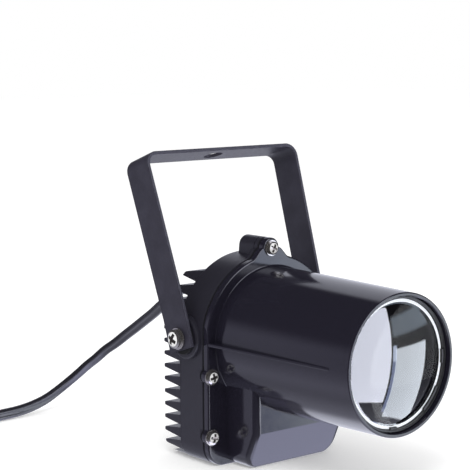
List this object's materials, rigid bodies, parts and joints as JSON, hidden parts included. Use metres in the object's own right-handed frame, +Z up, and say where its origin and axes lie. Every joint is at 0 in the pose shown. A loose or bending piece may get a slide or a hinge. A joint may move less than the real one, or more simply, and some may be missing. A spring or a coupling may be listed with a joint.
{
  "type": "pinspot light",
  "caption": "Small pinspot light: finned casting, moulded lens tube with a driver box, tilting U bracket with two pivots, flat mains cord with plug.",
  "frame": {"origin": "on the flat base face, straight below the axis that the bracket tilts about", "axes": "+Z up, the beam points towards -Y, +X to the left of the beam seen from behind the light"},
  "size_m": [0.1603, 0.277, 0.1284],
  "materials": {
    "cast_aluminium": "satin black",
    "gloss_plastic": "glossy black",
    "rubber": "matte black",
    "lens_glass": "clear polished",
    "nylon": "satin black",
    "strap_steel": "matte charcoal powder coat",
    "nickel": "bright nickel",
    "circuit_board": "green lacquer",
    "star_board": "white lacquer",
    "emitter": "clear silicone over phosphor",
    "clear_acrylic": "clear polished",
    "silicone_pad": "matte grey",
    "ferrite": "matte dark grey",
    "winding_tape": "yellow tape",
    "can_sleeve": "blue sleeve",
    "white_plastic": "satin white",
    "red_lead": "satin red",
    "black_lead": "satin black",
    "flex": "satin black",
    "brass": "bright brass"
  },
  "bodies": {
    "head": {"heatsink": "cast_aluminium", "front_housing": "gloss_plastic", "seam_gasket": "rubber", "lens": "lens_glass", "lens_retainer": "nylon", "thermal_pad": "silicone_pad", "led_star_board": "star_board", "led_emitter": "emitter", "collimator_holder": "nylon", "collimator_lens": "clear_acrylic", "star_screw_left": "nickel", "star_screw_right": "nickel", "driver_board": "circuit_board", "driver_transformer": "winding_tape", "driver_capacitor_a": "can_sleeve", "driver_capacitor_b": "nylon", "driver_choke": "ferrite", "terminal_block": "white_plastic", "driver_screw_left": "nickel", "driver_screw_right": "nickel", "supply_lead": "flex", "led_lead_red": "red_lead", "led_lead_black": "black_lead", "housing_screw_top": "nickel", "housing_screw_mid_left": "nickel", "housing_screw_mid_right": "nickel", "housing_screw_low_left": "nickel", "housing_screw_low_right": "nickel", "friction_washer_left": "rubber", "friction_washer_right": "rubber", "pivot_washer_left": "nickel", "pivot_washer_right": "nickel", "pivot_screw_left": "nickel", "pivot_screw_right": "nickel", "cord_gland": "nylon", "cord_run": "flex", "cord_coil": "flex", "cord_tie": "nylon", "plug_body": "flex", "plug_blade_left": "brass", "plug_blade_right": "brass"},
    "yoke": {"bracket": "strap_steel"}
  },
  "joints": [
    {"name": "bracket_tilt", "type": "hinge", "parent": "head", "child": "yoke", "pos_m": [0, 0, 0.0525], "axis": [1, 0, 0], "range_deg": [-66, 82]}
  ]
}
